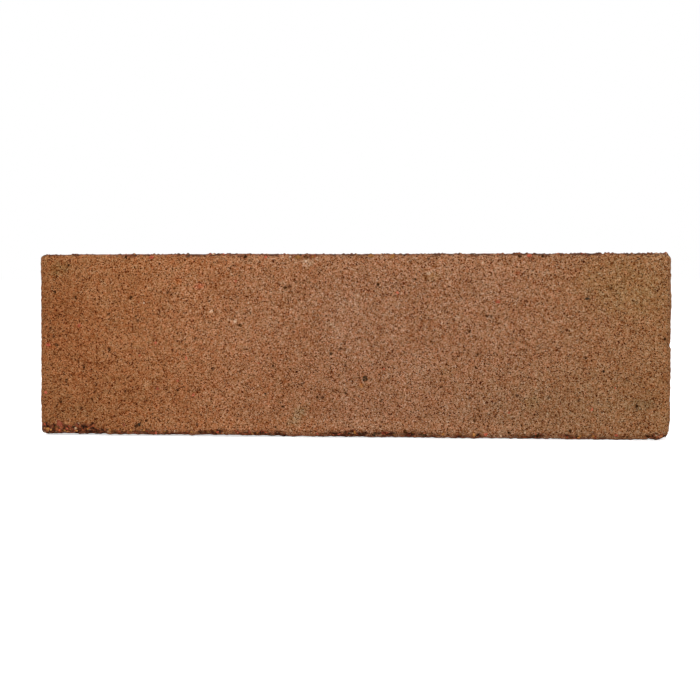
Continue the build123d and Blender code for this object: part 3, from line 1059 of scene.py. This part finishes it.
def bed_panel(upper):
    """One bed, with a hole at each core's mouth and finer triangles beside the sanded face."""
    around = np.concatenate([row[:-1] for row in (front_row, right_row, back_row, left_row)])
    rim, _ = outline(around, np.full(len(around), BED_RADIUS))
    mouth = CORE_RADIUS + MOUTH_RADIUS
    angles = core_angles[:-1]
    ring = mouth * np.column_stack([np.cos(angles), np.sin(angles)])
    circles = [ring + [middle, 0] for middle in CORE_MIDDLES]
    corner = np.array([HALF_LENGTH, HALF_WIDTH]) - BED_RADIUS
    fine_end = FINE_STRIP - corner[1]
    coarse = inner_lattice(-corner, corner, BED_PITCH, 5)
    fine = inner_lattice(-corner, np.array([corner[0], fine_end]), FRONT_PITCH, 6)
    inner = np.concatenate([coarse[coarse[:, 1] > fine_end], fine])
    room = np.where(inner[:, 1] < fine_end, FINE_ROOM, BED_ROOM)
    clear = (corner - np.abs(inner)).min(axis=1) > room
    clear &= np.linalg.norm(np.abs(inner) - corner, axis=1) > CORNER_ROOM
    for m in CORE_MIDDLES:
        clear &= np.hypot(inner[:, 0] - m, inner[:, 1]) > mouth + MOUTH_ROOM
    loops = [rim, *circles]
    return filled_panel(lambda flat: real_surface(*ideal_bed(flat, upper)), loops, inner[clear])


def back_panel():
    """The plain back, with the whole height of both rounded corners."""
    loop = rectangle_loop(back_row, whole_column)
    inner = inner_lattice((RIGHT_END, 0.0), (BACK_END, PROFILE), BACK_PITCH, 7)
    return filled_panel(lambda pairs: skin(*pairs.T), [loop], inner)


def core_panel(middle):
    """The wall of one core, with both its mouths."""

    def wall(angle, up):
        return real_surface(*ideal_core(middle, angle, up))

    return grid_panel(wall, core_angles, core_column)


body_panels = [back_panel(), bed_panel(False), bed_panel(True)]
body_panels += [grid_panel(skin, row, lip) for row, _ in coats.values() for lip in lips]
body_panels += [*interfaces.values(), shoulders[RIGHT_END], shoulders[BACK_END]]
body_panels += [core_panel(middle) for middle in CORE_MIDDLES]
make_piece("clay_body", body_panels, clay_material)

# ---- build the grains ----

# How grains are cut from a ball of radius 1: how many planes, how deep, and the longest reach left
GRAIN_PLANES, GRAIN_CUTS, GRAIN_REACH = 9, (0.62, 1.0), 1.12
LEAST_FACING = 0.05
GRAIN_STRETCH = (0.75, 1.1)
GRAIN_SHRINK = 0.87
GRAIN_BUMPS = (0.5, 0.13)
# How far grains stand out, as a share of their size, how bright they are, and from which half
# size on they are sunk deeper and are darker
GRAIN_PROUD, GRAIN_SHADES = 0.42, (0.85, 1.15)
BIG_GRAIN, BIG_SUNK, BIG_DARK = (1.0, 1.3), 0.5, 0.45
# How near the sanded face's upper edge the wire has lifted grains, and by how much
LIP_REACH, LIP_RISE = 1.8, 0.35

ball = bmesh.new()
bmesh.ops.create_icosphere(ball, subdivisions=3, radius=1.0)
BALL_POINTS = np.array([vertex.co for vertex in ball.verts])
BALL_FACES = [[vertex.index for vertex in face.verts] for face in ball.faces]
ball.free()


def pebble(low, high, seed):
    """Points and brightness of one crushed grain: a ball cut by planes, a little proud of the
    real surface."""
    rng = np.random.default_rng(seed)
    planes = rng.normal(size=(GRAIN_PLANES, 3))
    planes /= np.linalg.norm(planes, axis=1)[:, None]
    depth = rng.uniform(*GRAIN_CUTS, GRAIN_PLANES)
    facing = BALL_POINTS @ planes.T
    cut = np.where(facing > LEAST_FACING, depth / np.maximum(facing, LEAST_FACING), np.inf)
    reach = np.minimum(cut.min(axis=1), GRAIN_REACH)
    half = (high - low) / 2 * rng.uniform(*GRAIN_STRETCH, 3)
    points = BALL_POINTS * reach[:, None] * half * GRAIN_SHRINK
    bump_size, bump_height = GRAIN_BUMPS
    points += BALL_POINTS * bump_height * noise(points + seed, bump_size, seed)[:, None]

    ideal, outward = resting_place((low + high) / 2)
    real, _ = real_surface(ideal[None], outward[None])
    big = smooth(*BIG_GRAIN, half.max())
    sunk = (points @ outward).max() * (1 - GRAIN_PROUD * (1 - BIG_SUNK * big))
    on_lip = ideal[2] > HEIGHT - LIP_REACH and ideal[1] < LIP_REACH - HALF_WIDTH
    lifted = np.array([0, 0, LIP_RISE * on_lip])
    shade = rng.uniform(*GRAIN_SHADES) * (1 - BIG_DARK * big)
    return real[0] + points - outward * sunk + lifted, shade


def make_grit(kind, node):
    """Every grain of one kind, as one piece of separate closed pebbles."""
    slot = node.removesuffix("_grains")
    points, faces, shades = [], [], []
    for number, (low, high) in enumerate(grains[node]):
        grain_points, shade = pebble(low, high, 1000 * kind + number)
        start = number * len(BALL_POINTS)
        points.append(grain_points)
        shades += [shade] * len(BALL_POINTS)
        faces += [[start + corner for corner in face] for face in BALL_FACES]
    points = np.concatenate(points)
    points[:, 2] = np.maximum(points[:, 2], 0)
    mesh = bpy.data.meshes.new(node)
    mesh.from_pydata((points * MM).tolist(), [], faces)
    set_values(mesh, "shade", np.array(shades))
    finish_piece(node, mesh, grit_material(slot, *GRIT_LOOKS[node]))


for kind, node in enumerate(GRIT_LOOKS):
    make_grit(kind, node)

# ---- floor, lights and camera ----

FLOOR_RADIUS, FLOOR_SIDES = 12.0, 64
FLOOR_GLOW = 0.68
WORLD_STRENGTH, WORLD_SEEN = 0.58, 1.0

# Soft box lights: name, place, target, width, height and watts
LIGHTS = (
    ("key", (-0.25, -0.75, 0.95), (0, -0.02, 0.03), 0.7, 0.5, 7.0),
    ("fill", (0.9, -0.6, 0.5), (0, 0, 0.03), 0.8, 0.8, 3.0),
    ("back", (0.2, 1.0, 0.9), (0, 0, 0.03), 0.9, 0.6, 6.0),
)

# The camera: metres from the sanded face's middle, and degrees to the right of it and above it
CAMERA_DISTANCE, CAMERA_RIGHT, CAMERA_UP = 0.4964, 5.006, 2.542
CAMERA_LENS, CAMERA_SHIFT = 83.4, -0.0062


def floor():
    """A plain pale floor, flat and round, under the brick."""
    mesh = bpy.data.meshes.new("floor")
    turns = [2 * math.pi * n / FLOOR_SIDES for n in range(FLOOR_SIDES)]
    points = [(FLOOR_RADIUS * math.cos(a), FLOOR_RADIUS * math.sin(a), 0) for a in turns]
    mesh.from_pydata(points, [], [list(range(FLOOR_SIDES))])
    shader = Shader("floor")
    seen = shader.add("ShaderNodeLightPath").outputs["Is Camera Ray"]
    glow = shader.number("MULTIPLY", seen, FLOOR_GLOW)
    shader.feed(shader.surface.inputs["Emission Color"], (1, 1, 1, 1))
    shader.feed(shader.surface.inputs["Emission Strength"], glow)
    mesh.materials.append(shader.done((0.86, 0.86, 0.86, 1.0), 0.9, 0.0))
    piece = bpy.data.objects.new("floor", mesh)
    bpy.context.scene.collection.objects.link(piece)


def aimed(name, data, place, target):
    """A light or a camera that faces a target."""
    thing = bpy.data.objects.new(name, data)
    thing.location = place
    thing.rotation_mode = "QUATERNION"
    thing.rotation_quaternion = (Vector(target) - Vector(place)).to_track_quat("-Z", "Y")
    bpy.context.scene.collection.objects.link(thing)
    return thing


def area_light(name, place, target, width, height, watts):
    """A soft box light that faces a target."""
    data = bpy.data.lights.new(name, "AREA")
    data.shape = "RECTANGLE"
    data.size, data.size_y = width, height
    data.energy = watts
    aimed(name, data, place, target)


def camera():
    """A camera that looks at the sanded face almost square on."""
    right, up = math.radians(CAMERA_RIGHT), math.radians(CAMERA_UP)
    target = Vector((0, cad_low.y, (cad_low.z + cad_high.z) / 2))
    back = Vector((math.sin(right) * math.cos(up), -math.cos(right) * math.cos(up), math.sin(up)))
    data = bpy.data.cameras.new("camera")
    data.lens = CAMERA_LENS
    data.shift_y = CAMERA_SHIFT
    bpy.context.scene.camera = aimed("camera", data, target + back * CAMERA_DISTANCE, target)


def world():
    """Even white light from all round."""
    sky = bpy.data.worlds.new("world")
    sky.use_nodes = True
    nodes, links = sky.node_tree.nodes, sky.node_tree.links
    background = nodes["Background"]
    background.inputs["Color"].default_value = (1, 1, 1, 1)
    strength = nodes.new("ShaderNodeMapRange")
    strength.inputs["To Min"].default_value = WORLD_STRENGTH
    strength.inputs["To Max"].default_value = WORLD_SEEN
    links.new(nodes.new("ShaderNodeLightPath").outputs["Is Camera Ray"], strength.inputs["Value"])
    links.new(strength.outputs[0], background.inputs["Strength"])
    bpy.context.scene.world = sky


floor()
world()
for light in LIGHTS:
    area_light(*light)
camera()
bpy.context.scene.view_settings.view_transform = "Standard"
